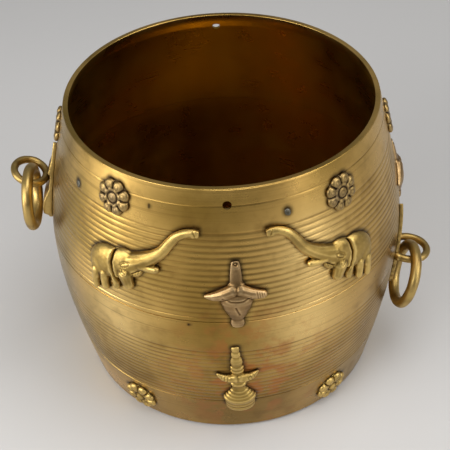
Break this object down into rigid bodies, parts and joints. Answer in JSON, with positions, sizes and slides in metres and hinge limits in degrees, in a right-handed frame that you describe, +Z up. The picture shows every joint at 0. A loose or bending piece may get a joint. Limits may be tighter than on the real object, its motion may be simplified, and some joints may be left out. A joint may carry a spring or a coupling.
{
  "type": "brass storage vessel",
  "caption": "Barrel-shaped brass storage vessel in two lapped halves, with cast elephants, lamps and rosettes on its wall and a loose ring in an eye on each side.",
  "frame": {"origin": "centre of the base's underside", "axes": "+Z up along the vessel's axis, -Y the front with the lamps in line, +X towards the right-hand handle as seen from the front"},
  "size_m": [0.3359, 0.2892, 0.244],
  "materials": {
    "body_brass": "aged, worn satin brass with brown patina in the turned grooves",
    "cast_brass": "cast brass, rubbed bright on the high places and dark in the recesses",
    "handle_brass": "cast brass polished by handling, brown underneath",
    "solder": "dull grey solder"
  },
  "bodies": {
    "vessel": {"upper_body": "body_brass", "lower_body": "body_brass", "upper_rosette_front_left": "cast_brass", "upper_rosette_front_right": "cast_brass", "upper_rosette_back_left": "cast_brass", "upper_rosette_back_right": "cast_brass", "upper_rosette_left": "cast_brass", "upper_rosette_right": "cast_brass", "lower_rosette_front_left": "cast_brass", "lower_rosette_front_right": "cast_brass", "lower_rosette_back_left": "cast_brass", "lower_rosette_back_right": "cast_brass", "elephant_front_left": "cast_brass", "elephant_front_right": "cast_brass", "elephant_back_left": "cast_brass", "elephant_back_right": "cast_brass", "upper_lamp_front": "cast_brass", "upper_lamp_back": "cast_brass", "lower_lamp_front": "cast_brass", "lower_lamp_back": "cast_brass", "side_lamp_right": "cast_brass", "solder_plug_left": "solder", "solder_plug_right": "solder", "handle_plate_left": "handle_brass", "handle_plate_right": "handle_brass", "handle_eye_left": "handle_brass", "handle_eye_right": "handle_brass", "handle_burr_left": "handle_brass", "handle_burr_right": "handle_brass"},
    "left_ring": {"ring_left": "handle_brass"},
    "right_ring": {"ring_right": "handle_brass"}
  },
  "joints": [
    {"name": "left_ring_swing", "type": "hinge", "parent": "vessel", "child": "left_ring", "pos_m": [-0.15348, -0.0139, 0.17525], "axis": [-0.9997, 0.0262, 0], "range_deg": [0, 178]},
    {"name": "right_ring_swing", "type": "hinge", "parent": "vessel", "child": "right_ring", "pos_m": [0.14889, -0.04016, 0.10034], "axis": [-0.9598, -0.0084, 0.2807], "range_deg": [0, 178]}
  ]
}
